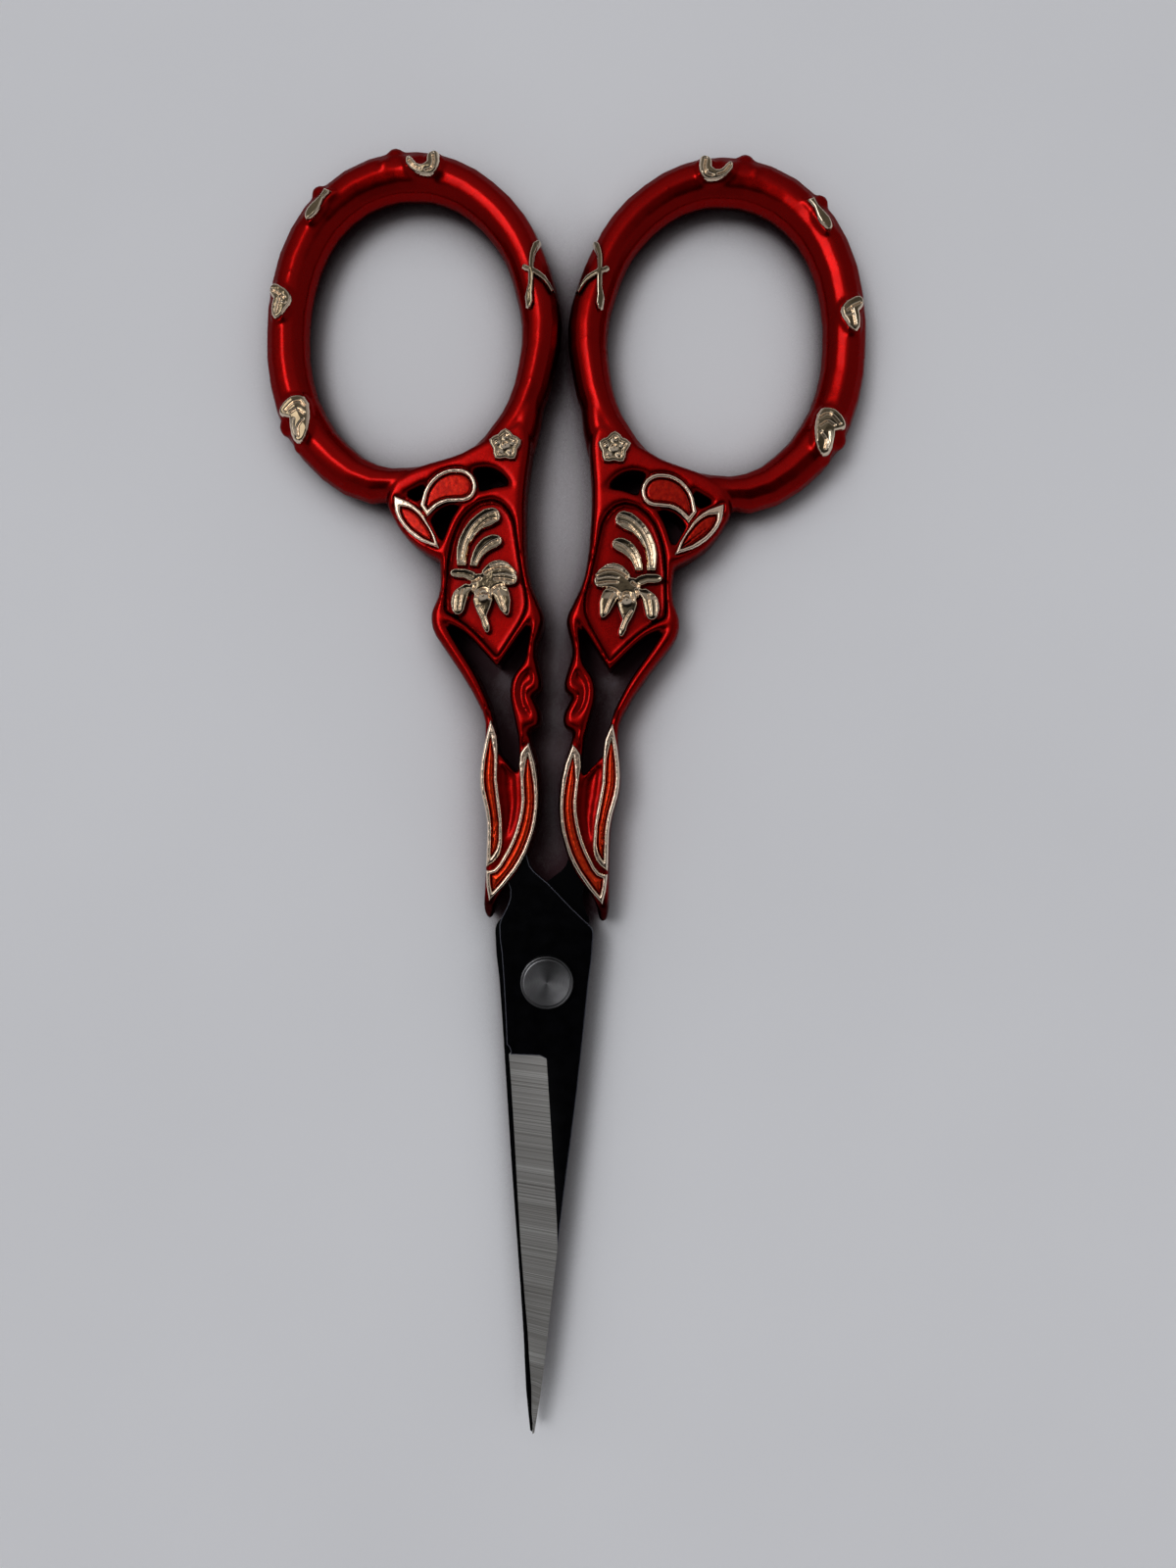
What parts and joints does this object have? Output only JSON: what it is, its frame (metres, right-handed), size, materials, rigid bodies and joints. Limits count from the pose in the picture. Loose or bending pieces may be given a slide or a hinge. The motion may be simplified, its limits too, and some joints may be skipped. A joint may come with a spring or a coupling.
{
  "type": "embroidery scissors",
  "caption": "Small needlework scissors with openwork lacquered handles, gilt floral relief, round finger rings and slender black blades that turn on a rivet.",
  "frame": {"origin": "on the pivot axis, at the flat back end of the rivet, in the plane that the handles rest on", "axes": "+Y from the tips to the finger rings, +Z out of the front face with the gilt relief, +X to the right seen from the front"},
  "size_m": [0.054, 0.1152, 0.005],
  "materials": {
    "red_lacquer": "candy red metallic lacquer over cast metal, satin",
    "red_enamel": "glossy orange-red translucent enamel",
    "gilt": "pale gold plating on relief, polished",
    "black_coating": "gloss black coating on steel, with the ground bevel and the inner face bare",
    "bare_steel": "turned steel, satin"
  },
  "bodies": {
    "lower_half": {"right_handle": "red_lacquer", "right_blade": "black_coating", "right_sprig": "gilt", "right_seed_leaf": "gilt", "right_heart": "gilt", "right_kidney_bud": "gilt", "right_crossed_stems": "gilt", "right_almond_rim": "gilt", "right_almond_enamel": "red_enamel", "right_curl_rim": "gilt", "right_curl_enamel": "red_enamel", "right_outer_leaf_rim": "gilt", "right_outer_leaf_enamel": "red_enamel", "right_inner_leaf_rim": "gilt", "right_inner_leaf_enamel": "red_enamel", "right_long_petal": "gilt", "right_short_petal": "gilt", "right_lily": "gilt", "right_rosette": "gilt", "pivot_rivet": "bare_steel"},
    "upper_half": {"left_handle": "red_lacquer", "left_blade": "black_coating", "left_sprig": "gilt", "left_seed_leaf": "gilt", "left_heart": "gilt", "left_kidney_bud": "gilt", "left_crossed_stems": "gilt", "left_almond_rim": "gilt", "left_almond_enamel": "red_enamel", "left_curl_rim": "gilt", "left_curl_enamel": "red_enamel", "left_outer_leaf_rim": "gilt", "left_outer_leaf_enamel": "red_enamel", "left_inner_leaf_rim": "gilt", "left_inner_leaf_enamel": "red_enamel", "left_long_petal": "gilt", "left_short_petal": "gilt", "left_lily": "gilt", "left_rosette": "gilt"}
  },
  "joints": [
    {"name": "pivot", "type": "hinge", "parent": "lower_half", "child": "upper_half", "pos_m": [0, 0, 0], "axis": [0, 0, 1], "range_deg": [0, 100]}
  ]
}
